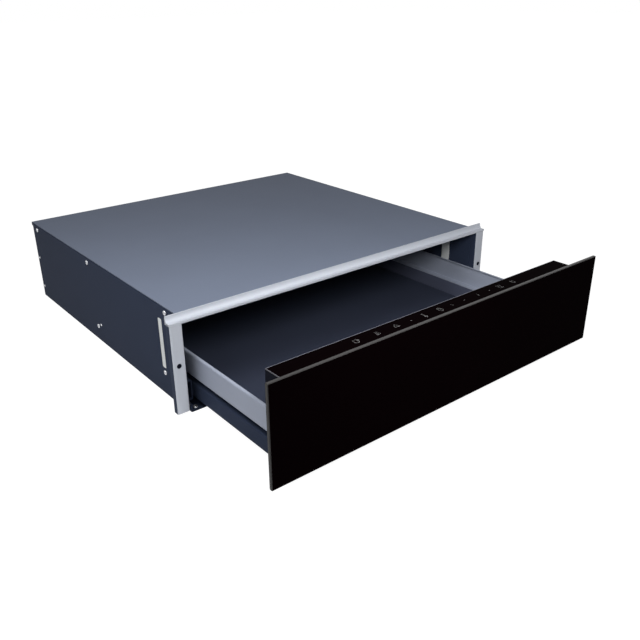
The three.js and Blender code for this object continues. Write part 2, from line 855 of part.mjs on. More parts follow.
place(drawer, 'front_glass', frontGlass(), blackGlass);
place(drawer, 'front_plate', frontPlate(), darkPaint);
place(drawer, 'control_box', controlBox(), blackPlastic);
place(drawer, 'control_strip', controlStrip(), blackGlass);
place(drawer, 'control_board', controlBoard(), boardGreen);
place(drawer, 'power_board', powerBoard(), boardGreen);

// --------------------------------------------------------------------- the drawer's body

/** The bright upper wall: it steps out over the slide and ends in a turned-in hem. */
function drawerWall(side) {
  const wall = wallFace - sheet / 2;
  const section = foldedSection([
    [side * (halfDrawer - sheet), wallStep + sheet / 2],
    [side * wall, wallStep + sheet / 2],
    [side * wall, drawerWallTop - sheet / 2],
    [side * (wallFace - wallHem), drawerWallTop - sheet / 2],
  ], sheet);
  return alongY(section, drawerFront, drawerRear);
}

/** The dark skirt that carries it: a turned-in foot that runs on under the control box. */
function drawerSkirt(side) {
  const wall = halfDrawer - sheet / 2;
  const section = foldedSection([
    [side * (wall - wallFoot), drawerBottom + sheet / 2],
    [side * wall, drawerBottom + sheet / 2],
    [side * wall, skirtTop],
  ], sheet);
  const [near, far] = span(side, wall - wallFoot - cutPast, halfDrawer + cutPast);
  const foldNotch = block(near, far, boxFront - cutPast, boxFront + housingFlange + cutPast,
    drawerBottom - cutPast, frontPlateBottom + frontPlateSheet + contactGap);
  return formed([alongY(section, boxFront, drawerRear)], [foldNotch]);
}

function drawerSlide(side) {
  const face = drawerSlideFace - slideSheet / 2;
  const section = foldedSection([
    [side * drawerSlideBack, slideTop - slideSheet / 2],
    [side * face, slideTop - slideSheet / 2],
    [side * face, slideBottom + slideSheet / 2],
    [side * drawerSlideBack, slideBottom + slideSheet / 2],
  ], slideSheet);
  return alongY(section, drawerFront, drawerRear);
}

/** The closing panel under the control box, at the front of the warming space. */
function drawerFrontPanel() {
  const front = drawerFront + sheet / 2;
  const section = foldedSection([
    [front + wallFoot, panUnderside + sheet / 2],
    [front, panUnderside + sheet / 2],
    [front, boxBottom + housingFlange],
  ], sheet);
  return alongX(section, -insideDrawer, insideDrawer);
}

function drawerPan() {
  const front = drawerFront + sheet + contactGap + sheet / 2;
  const rear = fanCoverBack - contactGap - sheet / 2;
  const floor = panUnderside + sheet + contactGap + sheet / 2;
  const section = foldedSection([
    [front, panTop],
    [front, floor],
    [rear, floor],
    [rear, panTop],
  ], sheet);
  return alongX(section, -insideDrawer, insideDrawer);
}

function drawerRearWall() {
  const wall = drawerRear - sheet / 2;
  const section = foldedSection([
    [wall - 2 * wallFoot, panUnderside + sheet / 2],
    [wall, panUnderside + sheet / 2],
    [wall, rearWallTop],
  ], sheet);
  return alongX(section, -insideDrawer, insideDrawer);
}

function warmingPlate() {
  return alongZ(roundedRectangle(-insideDrawer, insideDrawer,
    drawerFront + sheet + contactGap, fanCoverFront - contactGap, plateCorner),
  plateUnderside, plateTop);
}

const elementHeight = plateUnderside - contactGap - elementTube / 2;
const firstRun = drawerFront + elementFront;

/** The sheathed heating element: straight runs joined by half-round bends. */
function heatingElement() {
  const radius = elementPitch / 2;
  const reach = elementRun / 2;
  const bite = 0.4;
  const sideCount = 8;
  const bendSteps = 8;
  const sweepSteps = 10;
  const section = disc(elementTube / 2, sideCount);
  const pieces = [];
  for (let run = 0; run < elementRuns; run += 1) {
    const y = firstRun + run * elementPitch;
    const start = run === 0 ? -reach - radius : -reach - bite;
    const end = run === elementRuns - 1 && run % 2 === 1 ? -reach - radius : start;
    pieces.push(alongX(disc(elementTube / 2, sideCount, y, elementHeight),
      Math.min(start, end), reach + bite));
    if (run < elementRuns - 1) {
      const side = run % 2 === 0 ? 1 : -1;
      const bend = new THREE.CatmullRomCurve3([...Array(bendSteps + 1).keys()].map((step) => {
        const angle = -Math.PI / 2 + (Math.PI * step) / bendSteps;
        return new THREE.Vector3(side * (reach + radius * Math.cos(angle)),
          y + radius + radius * Math.sin(angle), elementHeight);
      }));
      pieces.push(new THREE.ExtrudeGeometry(section, { steps: sweepSteps, extrudePath: bend }));
    }
  }
  return formed(pieces);
}

function thermostat() {
  const top = plateUnderside - contactGap;
  const profile = [
    [0, top - thermostatHeight],
    [thermostatDiameter / 2 - thermostatBrim, top - thermostatHeight],
    [thermostatDiameter / 2 - thermostatBrim, top - thermostatBrim],
    [thermostatDiameter / 2, top - thermostatBrim],
    [thermostatDiameter / 2, top],
    [0, top],
  ].map(([radius, height]) => new THREE.Vector2(radius, height));
  return new THREE.LatheGeometry(profile, roundSideCount)
    .rotateX(Math.PI / 2)
    .translate(0, firstRun + elementPitch * thermostatRun, 0);
}

/** Curved slots in rings round the fan's axis, drawn in (X, Z). */
function grilleSlots() {
  const slots = [];
  for (let ring = 1; ring <= grilleRings; ring += 1) {
    const radius = ring * grillePitch;
    const count = 3 + ring;
    for (let index = 0; index < count; index += 1) {
      const start = (2 * Math.PI * index) / count + ring * grilleTwist;
      const end = start + (2 * Math.PI) / count - grilleBridge / radius;
      const shape = new THREE.Shape();
      shape.absarc(0, fanHeight, radius + grilleSlotWidth / 2, start, end, false);
      shape.absarc(0, fanHeight, radius - grilleSlotWidth / 2, end, start, true);
      slots.push(oriented(new THREE.ExtrudeGeometry(shape,
        { depth: grilleCutDepth, bevelEnabled: false, curveSegments: 5 }), axisX, axisZ,
      axisY.clone().negate()).translate(0, fanCoverFront + grilleCutDepth - cutPast, 0));
    }
  }
  return slots;
}

function outletSlots() {
  const slots = [];
  [-1, 1].forEach((side) => {
    for (let row = 0; row < outletRows; row += 1) {
      const z = outletBottom + row * outletPitch;
      const x = side * outletFromCentre;
      slots.push(block(x - outletWidth / 2, x + outletWidth / 2, fanCoverFront - cutPast,
        fanCoverFront + grilleCutDepth - cutPast, z, z + outletHeight));
    }
  });
  return slots;
}

/** The cover over the fan: closed on top and at the ends, open behind and below. */
function fanCover() {
  const bottom = plateTop + contactGap;
  const outside = block(-insideDrawer, insideDrawer, fanCoverFront, fanCoverBack, bottom,
    rearWallTop);
  const inside = block(-insideDrawer + sheet, insideDrawer - sheet, fanCoverFront + sheet,
    fanCoverBack + cutPast, bottom - cutPast, rearWallTop - sheet);
  return formed([outside], [inside, ...grilleSlots(), ...outletSlots()]);
}

function fanMotor() {
  const canSideCount = 24;
  const can = alongY(disc(motorDiameter / 2, canSideCount, 0, fanHeight), motorFront,
    motorBack);
  const foot = alongY(roundedRectangle(-motorFootWidth / 2, motorFootWidth / 2,
    fanHeight - motorFootWidth / 2, fanHeight + motorFootWidth / 2, motorFootCorner),
  motorBack - motorFootSheet, motorBack);
  const bore = alongY(disc(shaftDiameter / 2 + shaftClearance, holeSideCount, 0, fanHeight),
    motorFront - cutPast, motorFront + shaftInMotor + slidingGap);
  return formed([can, foot], [bore]);
}

/** A backward-curved blade from the hub's edge to the rim, drawn in (X, Z). */
function fanBlade(angle) {
  const steps = 5;
  const pastEye = 4;
  const insideRim = 0.5;
  const from = fanEye / 2 - pastEye;
  const to = fanDiameter / 2 - insideRim;
  const sweep = 0.7;
  const edge = (offset) => [...Array(steps + 1).keys()].map((step) => {
    const share = step / steps;
    const radius = from + (to - from) * share;
    const turn = angle + sweep * share * share + offset / radius;
    return new THREE.Vector2(radius * Math.cos(turn), fanHeight + radius * Math.sin(turn));
  });
  const shape = new THREE.Shape([...edge(-fanBladeThickness / 2),
    ...edge(fanBladeThickness / 2).reverse()]);
  return alongY(shape, fanFront + fanPlate / 2, fanBack - fanPlate / 2);
}

function fanWheel() {
  const backPlate = alongY(disc(fanDiameter / 2, fanSideCount, 0, fanHeight), fanBack - fanPlate,
    fanBack);
  const ringShape = disc(fanDiameter / 2, fanSideCount, 0, fanHeight);
  const eye = disc(fanEye / 2, fanSideCount, 0, fanHeight);
  ringShape.holes.push(new THREE.Path(eye.getPoints()));
  const frontRing = alongY(ringShape, fanFront, fanFront + fanPlate);
  const hub = alongY(disc(fanHubDiameter / 2, roundSideCount, 0, fanHeight),
    fanBack - fanDepth * fanHubShare, fanBack);
  const shaft = alongY(disc(shaftDiameter / 2, holeSideCount, 0, fanHeight), fanBack - cutPast,
    motorFront + shaftInMotor);
  const blades = [];
  for (let index = 0; index < fanBladeCount; index += 1) {
    blades.push(fanBlade((2 * Math.PI * index) / fanBladeCount));
  }
  return formed([backPlate, frontRing, hub, shaft, ...blades]);
}

function latchStriker() {
  const shape = roundedRectangle(latchCentre - latchWidth / 2, latchCentre + latchWidth / 2,
    panUnderside + sheet, latchAxis + latchHeight / 2, strikerCorner);
  return alongY(shape, drawerRear + contactGap, strikerBack);
}

placePair(drawer, 'drawer_wall', drawerWall, slideZinc);
placePair(drawer, 'drawer_skirt', drawerSkirt, darkPaint);
placePair(drawer, 'drawer_slide', drawerSlide, darkPaint);
place(drawer, 'drawer_front_panel', drawerFrontPanel(), darkPaint);
place(drawer, 'drawer_pan', drawerPan(), darkPaint);
place(drawer, 'drawer_rear_wall', drawerRearWall(), darkPaint);
place(drawer, 'warming_plate', warmingPlate(), plateGlass);
place(drawer, 'heating_element', heatingElement(), brightSteel);
place(drawer, 'thermostat', thermostat(), brightSteel);
place(drawer, 'fan_cover', fanCover(), darkPaint);
place(drawer, 'fan_motor', fanMotor(), slideZinc);
place(drawer, 'fan_wheel', fanWheel(), fanAluminium);
place(drawer, 'latch_striker', latchStriker(), slideZinc);

export default object;
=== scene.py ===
"""The looks of a built-in warming drawer: finishes, fasteners, touch symbols, light and camera."""
import json
import math

import bpy
from mathutils import Euler, Matrix, Vector


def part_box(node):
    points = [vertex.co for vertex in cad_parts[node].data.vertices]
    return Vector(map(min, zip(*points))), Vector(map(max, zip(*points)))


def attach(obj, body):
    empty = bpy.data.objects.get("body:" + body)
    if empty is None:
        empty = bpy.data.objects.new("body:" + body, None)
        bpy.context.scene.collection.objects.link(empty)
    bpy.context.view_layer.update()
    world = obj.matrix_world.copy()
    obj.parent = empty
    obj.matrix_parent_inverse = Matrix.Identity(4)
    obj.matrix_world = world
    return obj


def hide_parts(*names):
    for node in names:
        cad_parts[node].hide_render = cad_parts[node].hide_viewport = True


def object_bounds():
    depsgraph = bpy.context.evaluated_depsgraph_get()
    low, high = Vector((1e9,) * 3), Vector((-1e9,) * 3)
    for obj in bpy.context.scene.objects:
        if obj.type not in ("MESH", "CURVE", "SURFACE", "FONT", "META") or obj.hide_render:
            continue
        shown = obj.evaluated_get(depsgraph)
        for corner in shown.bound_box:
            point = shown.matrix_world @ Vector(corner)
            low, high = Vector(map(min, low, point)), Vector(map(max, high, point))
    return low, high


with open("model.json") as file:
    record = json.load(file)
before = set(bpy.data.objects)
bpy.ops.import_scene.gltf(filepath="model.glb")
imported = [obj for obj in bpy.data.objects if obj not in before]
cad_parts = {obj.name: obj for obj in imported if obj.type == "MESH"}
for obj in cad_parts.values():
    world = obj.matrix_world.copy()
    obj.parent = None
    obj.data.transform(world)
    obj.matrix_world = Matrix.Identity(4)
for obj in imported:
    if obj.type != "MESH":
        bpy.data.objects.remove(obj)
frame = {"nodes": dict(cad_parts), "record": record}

MM = 0.001                        # a millimetre in the scene's metres
QUARTER_TURN = math.radians(90)
CAD_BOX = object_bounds()
NODES = frame["nodes"]


# ------------------------------------------------------------------ sizes and places

GLASS_ARRIS = 0.9 * MM            # the ground edge all round the glass
STRIP_ARRIS = 0.7 * MM
REAR_HIGHLIGHT_WIDTH = 0.7 * MM        # a painted highlight: a pale line along the strip's rear edge
REAR_HIGHLIGHT_HEIGHT = 0.08 * MM
SHEET = 1.2 * MM                  # the casing's steel sheet

SCREW_HEAD = 3.4 * MM             # radius
SCREW_HEIGHT = 1.9 * MM
SCREW_ROUNDING = 0.9 * MM
RECESS_REACH = 2.0 * MM           # from the middle of the head to the end of an arm
RECESS_HALF_WIDTH = 0.45 * MM
RECESS_DEPTH = 1.1 * MM
CUT_PAST = 1.0 * MM               # how far the cutting arm stands above the head
RIVET_HEAD = 2.0 * MM             # radius
RIVET_HEIGHT = 1.0 * MM
RIVET_ROUNDING = 0.7 * MM

SIDE_SCREWS = [                   # distance back and up, in millimetres
    (497, 128.5), (283, 129), (34, 130), (50, 36), (272, 26),
]
SIDE_RIVETS = [(512, 74), (512, 20), (262, 31)]
REAR_SCREWS = [                   # side of the rear panel and distance up, in millimetres
    (-1, 18), (-1, 118), (1, 18), (1, 118), (0, 18),
]
REAR_SCREW_INSET = 9 * MM         # from the rear panel's sides
FOOT_SCREW_BACK = 5.0 * MM        # from the front of the foot bracket

SYMBOL_STROKE = 0.26 * MM         # half the width of a printed line
SYMBOL_THICKNESS = 0.06 * MM
SYMBOL_BACK = 15.0 * MM           # from the strip's rear edge to the row of symbols
SYMBOL_DEPTH = 1.55               # how much deeper than wide the symbols are drawn

SENSOR_WIDTH = 36                 # mm
LENS = 40.95                      # mm
CAMERA_PLACE = (-0.6585, -0.7578, 0.5119)
CAMERA_TILT = 65.25               # degrees up from straight down
CAMERA_TURN = -38.72
CAMERA_ROLL = -0.57
NEAREST_SEEN = 0.01               # metres from the camera

FLOOR_SIZE = 24                   # metres
FLOOR_GAP = 0.0005                # metres between the floor and the part's underside
FLOOR_GREY = 0.85
FLOOR_PALENESS = 0.82             # share of plain white in what the camera sees of the floor
FLOOR_GLOW = 1.18                 # strength of that white, enough to reach full white
WORLD_LIGHT = 0.33                # strength of the world as a lamp

PART_CENTRE = (0, 0.1, 0.07)
LAMPS = [                         # name, place, target, size and power in watts
    ("near_softbox", (-0.48, -0.02, 0.62), (-0.2, 0.1, 0.1), (0.4, 0.4), 3),
    ("opening_softbox", (-0.15, -0.43, 0.46), (0.22, 0, 0.05), (0.2, 0.2), 3.6),
    ("front_left_softbox", (-0.8, -1.6, 0.35), PART_CENTRE, (0.6, 0.4), 1.5),
    ("right_softbox", (1.6, 0.6, 0.16), PART_CENTRE, (0.8, 0.25), 3),
]


# ---------------------------------------------------------------------------- finishes

FACTOR, COLOR_A, COLOR_B = 0, 6, 7    # inputs of a Mix node that mixes colours
MIXED_COLOR = 2                       # and its output
NOISE_LOW, NOISE_HIGH = 0.3, 0.7      # between these lies nearly all of a noise pattern

METAL_IOR = 1.2
PLASTIC_IOR = 1.05
GROUND_EDGE_IOR = 1.2
POST_IOR = 1.1
SATIN_METALLIC = 0.15
BRIGHT_METALLIC = 0.85
ALONG_FRAME = (1.0, 12.0, 12.0)       # how closely the grinding lines lie along X, Y and Z
ALONG_SLIDE = (12.0, 1.0, 12.0)
ALONG_BRIGHT = (8.0, 1.0, 8.0)
EVEN_GRAIN = (3.0, 3.0, 3.0)
DARK_PAINT = (0.025, 0.033, 0.057)
# the dark paint made lighter for the drawer skirts: painted light where the lamps leave them in
# shade
SKIRT_PAINT_WITH_PAINTED_LIGHT = (0.066, 0.073, 0.108)
COVER_PAINT = (0.125, 0.146, 0.196)
BLACK_ENAMEL = (0.0012, 0.0004, 0.0006)
PLATE_ENAMEL = (0.029, 0.034, 0.053)
PAINTED_FROM = 0.8                    # share of X in a post's normal that makes it a painted face


def node(tree, kind, place, **values):
    """A new shader node, at its place in the node editor."""
    made = tree.nodes.new(kind)
    for name, value in values.items():
        setattr(made, name, value)
    made.location = place
    return made


def finish_shell(name):
    material = bpy.data.materials.new(name)
    material.use_nodes = True
    tree = material.node_tree
    shader = tree.nodes["Principled BSDF"]
    coordinates = node(tree, "ShaderNodeTexCoord", (-1200, 0))
    return material, tree, shader, coordinates.outputs["Object"]


def noise(tree, source, scale, detail, stretch=None):
    """A noise pattern over the piece, drawn out along an axis where it is brushed."""
    if stretch:
        mapping = node(tree, "ShaderNodeMapping", (-1000, -200))
        mapping.inputs["Scale"].default_value = stretch
        tree.links.new(source, mapping.inputs["Vector"])
        source = mapping.outputs["Vector"]
    pattern = node(tree, "ShaderNodeTexNoise", (-800, -200))
    pattern.inputs["Scale"].default_value = scale
    pattern.inputs["Detail"].default_value = detail
    tree.links.new(source, pattern.inputs["Vector"])
    return pattern.outputs["Fac"]


def tinted(tree, shader, pattern, color, spread):
    """Lets the colour drift a little, lighter and darker, with the pattern."""
    mix = node(tree, "ShaderNodeMix", (-400, 200), data_type="RGBA")
    mix.inputs[COLOR_A].default_value = [part * (1 - spread) for part in color] + [1]
    mix.inputs[COLOR_B].default_value = [min(1, part * (1 + spread)) for part in color] + [1]
    tree.links.new(pattern, mix.inputs[FACTOR])
    tree.links.new(mix.outputs[MIXED_COLOR], shader.inputs["Base Color"])


def roughened(tree, shader, pattern, low, high):
    """Lets the roughness go from low to high with the pattern."""
    span = node(tree, "ShaderNodeMapRange", (-400, -100))
    span.inputs["From Min"].default_value = NOISE_LOW
    span.inputs["From Max"].default_value = NOISE_HIGH
    span.inputs["To Min"].default_value = low
    span.inputs["To Max"].default_value = high
    tree.links.new(pattern, span.inputs["Value"])
    tree.links.new(span.outputs["Result"], shader.inputs["Roughness"])


def relief(tree, shader, pattern, distance, strength):
    """A fine relief from the pattern, its distance in metres."""
    bump = node(tree, "ShaderNodeBump", (-300, -400))
    bump.inputs["Distance"].default_value = distance
    bump.inputs["Strength"].default_value = strength
    tree.links.new(pattern, bump.inputs["Height"])
    tree.links.new(bump.outputs["Normal"], shader.inputs["Normal"])


def coated_sheet(name, color, roughness, ior):
    """Powder-coated steel: a faint orange peel and slow drifts of tone."""
    material, tree, shader, place = finish_shell(name)
    shader.inputs["IOR"].default_value = ior
    tinted(tree, shader, noise(tree, place, scale=9.0, detail=3.0), color, spread=0.05)
    peel = noise(tree, place, scale=900.0, detail=2.0)
    roughened(tree, shader, peel, low=roughness - 0.04, high=roughness + 0.05)
    relief(tree, shader, peel, distance=0.0001, strength=0.12)
    return material


def brushed_metal(name, color, roughness, stretch, metallic):
    """Bare metal with fine grinding lines along its length."""
    material, tree, shader, place = finish_shell(name)
    shader.inputs["Metallic"].default_value = metallic
    shader.inputs["IOR"].default_value = METAL_IOR
    lines = noise(tree, place, scale=60.0, detail=4.0, stretch=stretch)
    tinted(tree, shader, lines, color, spread=0.03)
    roughened(tree, shader, lines, low=roughness - 0.06, high=roughness + 0.08)
    relief(tree, shader, lines, distance=0.00004, strength=0.08)
    return material


def enamelled_glass(name, color, roughness, ior):
    """Glass with opaque enamel behind it: an even colour under a smooth face."""
    material, tree, shader, place = finish_shell(name)
    shader.inputs["IOR"].default_value = ior
    waves = noise(tree, place, scale=14.0, detail=1.0)
    tinted(tree, shader, waves, color, spread=0.08)
    roughened(tree, shader, waves, low=roughness, high=roughness + 0.03)
    relief(tree, shader, waves, distance=0.0002, strength=0.01)
    return material


def moulded_plastic(name, color, roughness):
    """Plastic, rubber, ceramic or ink with a fine, matt grain."""
    material, tree, shader, place = finish_shell(name)
    shader.inputs["IOR"].default_value = PLASTIC_IOR
    grain = noise(tree, place, scale=1400.0, detail=2.0)
    tinted(tree, shader, grain, color, spread=0.1)
    roughened(tree, shader, grain, low=roughness - 0.05, high=roughness + 0.08)
    relief(tree, shader, grain, distance=0.0001, strength=0.25)
    return material


def ground_edge_and_painted_highlight(name, color):
    """The ground arris of the glass, which catches the light as a grey line, and the finish of the
    painted highlight along the strip's rear edge.
    """
    material, tree, shader, place = finish_shell(name)
    shader.inputs["IOR"].default_value = GROUND_EDGE_IOR
    grind = noise(tree, place, scale=300.0, detail=3.0)
    tinted(tree, shader, grind, color, spread=0.12)
    roughened(tree, shader, grind, low=0.3, high=0.42)
    return material


def circuit_laminate(name, color):
    """A coated circuit board, mottled by the tracks under the coating."""
    material, tree, shader, place = finish_shell(name)
    tracks = noise(tree, place, scale=160.0, detail=2.0)
    tinted(tree, shader, tracks, color, spread=0.3)
    roughened(tree, shader, tracks, low=0.35, high=0.5)
    return material


FINISHES = {
    "dark_paint": coated_sheet(
        "dark_coated_sheet", DARK_PAINT, roughness=0.5, ior=1.06),
    "cover_paint": coated_sheet(
        "cover_coated_sheet", COVER_PAINT, roughness=0.42, ior=1.05),
    "frame_aluminium": brushed_metal(
        "satin_frame_aluminium", (0.385, 0.405, 0.45), 0.55, ALONG_FRAME, SATIN_METALLIC),
    "slide_zinc": brushed_metal(
        "satin_slide_zinc", (0.265, 0.29, 0.355), 0.55, ALONG_SLIDE, SATIN_METALLIC),
    "bright_steel": brushed_metal(
        "bright_steel", (0.60, 0.61, 0.64), 0.22, ALONG_BRIGHT, BRIGHT_METALLIC),
    "fan_aluminium": brushed_metal(
        "pressed_fan_aluminium", (0.55, 0.56, 0.6), 0.38, EVEN_GRAIN, BRIGHT_METALLIC),
    "black_glass": enamelled_glass(
        "black_front_glass", BLACK_ENAMEL, roughness=0.06, ior=1.015),
    "plate_glass": enamelled_glass(
        "warming_plate_glass", PLATE_ENAMEL, roughness=0.38, ior=1.1),
    "black_plastic": moulded_plastic(
        "black_box_plastic", (0.006, 0.007, 0.012), roughness=0.5),
    "pale_nylon": moulded_plastic(
        "pale_slot_nylon", (0.60, 0.62, 0.62), roughness=0.5),
    "black_rubber": moulded_plastic(
        "black_grommet_rubber", (0.010, 0.010, 0.010), roughness=0.7),
    "circuit_board": circuit_laminate(
        "green_circuit_laminate", (0.020, 0.115, 0.050)),
    "terminal_ceramic": moulded_plastic(
        "cream_terminal_ceramic", (0.62, 0.58, 0.48), roughness=0.55),
}
GLASS_EDGE = ground_edge_and_painted_highlight("ground_glass_edge", (0.026, 0.025, 0.025))
STRIP_EDGE = ground_edge_and_painted_highlight("control_strip_edge", (0.07, 0.07, 0.08))
# the pale line along the strip's rear edge is a painted highlight
REAR_HIGHLIGHT_FINISH = ground_edge_and_painted_highlight("strip_rear_painted_highlight", (0.10, 0.105, 0.125))
SYMBOL_INK = moulded_plastic("grey_symbol_ink", (0.13, 0.13, 0.13), roughness=0.5)


def faced_post():
    """A painted post whose front and back are faced with satin aluminium."""
    material = FINISHES["frame_aluminium"].copy()
    material.name = "aluminium_faced_post"
    tree = material.node_tree
    shader = tree.nodes["Principled BSDF"]
    shader.inputs["IOR"].default_value = POST_IOR
    coordinates = node(tree, "ShaderNodeTexCoord", (-1200, 500))
    parts = node(tree, "ShaderNodeSeparateXYZ", (-1000, 500))
    size = node(tree, "ShaderNodeMath", (-800, 500), operation="ABSOLUTE")
    turned = node(tree, "ShaderNodeMath", (-600, 500), operation="GREATER_THAN")
    turned.inputs[1].default_value = PAINTED_FROM
    tree.links.new(coordinates.outputs["Normal"], parts.inputs[0])
    tree.links.new(parts.outputs["X"], size.inputs[0])
    tree.links.new(size.outputs[0], turned.inputs[0])
    mix = node(tree, "ShaderNodeMix", (-200, 500), data_type="RGBA")
    bare = shader.inputs["Base Color"].links[0].from_socket
    tree.links.new(turned.outputs[0], mix.inputs[FACTOR])
    tree.links.new(bare, mix.inputs[COLOR_A])
    mix.inputs[COLOR_B].default_value = (*DARK_PAINT, 1)
    tree.links.new(mix.outputs[MIXED_COLOR], shader.inputs["Base Color"])
    metal = node(tree, "ShaderNodeMapRange", (-200, 300))
    metal.inputs["To Min"].default_value = SATIN_METALLIC
    metal.inputs["To Max"].default_value = 0.0
    tree.links.new(turned.outputs[0], metal.inputs["Value"])
    tree.links.new(metal.outputs["Result"], shader.inputs["Metallic"])
    return material


def dress_frame():
    """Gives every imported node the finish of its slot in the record, or one of its own."""
    post = faced_post()
    # the skirts get a lighter copy of the dark paint: painted light in place of light the lamps
    # don't bring into the drawer
    skirt = coated_sheet("skirt_sheet_with_painted_light", SKIRT_PAINT_WITH_PAINTED_LIGHT, roughness=0.5, ior=1.1)
    special = {"left_front_post": post, "right_front_post": post,
               "left_drawer_skirt": skirt, "right_drawer_skirt": skirt}
    for entry in frame["record"]["subparts"]:
        part = NODES[entry["node"]]
        part.data.materials.clear()
        finish = special.get(entry["node"], FINISHES[entry["material_slot"]])
        part.data.materials.append(finish)


# ------------------------------------------------------------------------- shared steps

BACK_TURNED, FLAT_ON = -0.1, 0.999    # between these, by its normal, a face is on the edge
UPRIGHT = 0.9                         # a face looks up where its normal's Z is larger
SAME_HEIGHT = 1e-6                    # metres


def select_only(piece):
    bpy.ops.object.select_all(action="DESELECT")
    piece.select_set(True)
    bpy.context.view_layer.objects.active = piece


def settle(piece, name, body, finish):
    """Applies a piece's place, names it, and sets it on its body."""
    select_only(piece)
    bpy.ops.object.transform_apply(location=True, rotation=True, scale=True)
    piece.name = name
    piece.data.name = name
    piece.data.materials.clear()
    piece.data.materials.append(finish)
    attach(piece, body)


def new_block(low, high):
    """A block between two corners, as the start of a piece."""
    low, high = Vector(low), Vector(high)
    bpy.ops.object.select_all(action="DESELECT")
    bpy.ops.mesh.primitive_cube_add(size=1, location=(low + high) / 2)
    block = bpy.context.active_object
    block.scale = high - low
    bpy.ops.object.transform_apply(location=False, rotation=False, scale=True)
    return block


def new_disc(radius, height, vertices):
    """An upright disc standing on the origin."""
    bpy.ops.object.select_all(action="DESELECT")
    bpy.ops.mesh.primitive_cylinder_add(vertices=vertices, radius=radius, depth=height,
                                        location=(0, 0, height / 2))
    disc = bpy.context.active_object
    bpy.ops.object.transform_apply(location=True, rotation=False, scale=False)
    return disc


def bevel_all(piece, width):
    select_only(piece)
    bpy.ops.object.mode_set(mode="EDIT")
    bpy.ops.mesh.select_all(action="SELECT")
    bpy.ops.mesh.bevel(offset=width, segments=2, affect="EDGES")
    bpy.ops.object.mode_set(mode="OBJECT")


def round_top(piece, height, width):
    """Rounds the edge round the top of an upright piece."""
    select_only(piece)
    bpy.ops.object.mode_set(mode="EDIT")
    bpy.ops.mesh.select_all(action="DESELECT")
    bpy.ops.object.mode_set(mode="OBJECT")
    for face in piece.data.polygons:
        on_top = abs(face.center.z - height) < SAME_HEIGHT
        face.select = face.normal.z > UPRIGHT and on_top
    bpy.ops.object.mode_set(mode="EDIT")
    bpy.ops.mesh.region_to_loop()
    bpy.ops.mesh.bevel(offset=width, segments=4, affect="EDGES")
    bpy.ops.object.mode_set(mode="OBJECT")


def cut_away(piece, tool):
    boolean = piece.modifiers.new("recess", "BOOLEAN")
    boolean.operation = "DIFFERENCE"
    boolean.solver = "EXACT"
    boolean.object = tool
    select_only(piece)
    bpy.ops.object.modifier_apply(modifier="recess")
    bpy.data.objects.remove(tool)


# ---------------------------------------------------------------------- glass and strip

def edge_faces(piece, outward, finish):
    """Puts the edge finish on the sides and on the arris round the outward face."""
    piece.data.materials.append(finish)
    for face in piece.data.polygons:
        if BACK_TURNED < face.normal.dot(Vector(outward)) < FLAT_ON:
            face.material_index = 1


def front_glass():
    """The front glass with its arrises ground, in place of the plain one."""
    low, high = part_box("front_glass")
    glass = new_block(low, high)
    bevel_all(glass, GLASS_ARRIS)
    settle(glass, "polished_front_glass", "drawer", FINISHES["black_glass"])
    edge_faces(glass, (0, -1, 0), GLASS_EDGE)
    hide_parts("front_glass")


def control_strip():
    """The glass strip over the control box, with a painted highlight: a pale line along its rear
    edge.
    """
    low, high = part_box("control_strip")
    strip = new_block(low, high)
    bevel_all(strip, STRIP_ARRIS)
    settle(strip, "glass_control_strip", "drawer", FINISHES["black_glass"])
    edge_faces(strip, (0, 0, 1), STRIP_EDGE)
    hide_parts("control_strip")
    # a thin pale sheet on the strip's top by its rear arris: a painted highlight
    line = new_block((low.x + STRIP_ARRIS, high.y - STRIP_ARRIS - REAR_HIGHLIGHT_WIDTH, high.z),
                     (high.x - STRIP_ARRIS, high.y - STRIP_ARRIS, high.z + REAR_HIGHLIGHT_HEIGHT))
    settle(line, "strip_rear_painted_highlight", "drawer", REAR_HIGHLIGHT_FINISH)


# ------------------------------------------------------------------------ touch symbols

def arc(x, y, radius, start, end, steps):
    """Points in millimetres round part of a circle, between two angles in degrees."""
    turns = [math.radians(start + (end - start) * step / steps) for step in range(steps + 1)]
    return [(x + radius * math.cos(turn), y + radius * math.sin(turn)) for turn in turns]


def closed(points):
    return points + points[:1]


def steam(x):
    """One wisp of steam over the plate."""
    return [(x, -0.2), (x + 0.5, 1.0), (x, 2.2)]


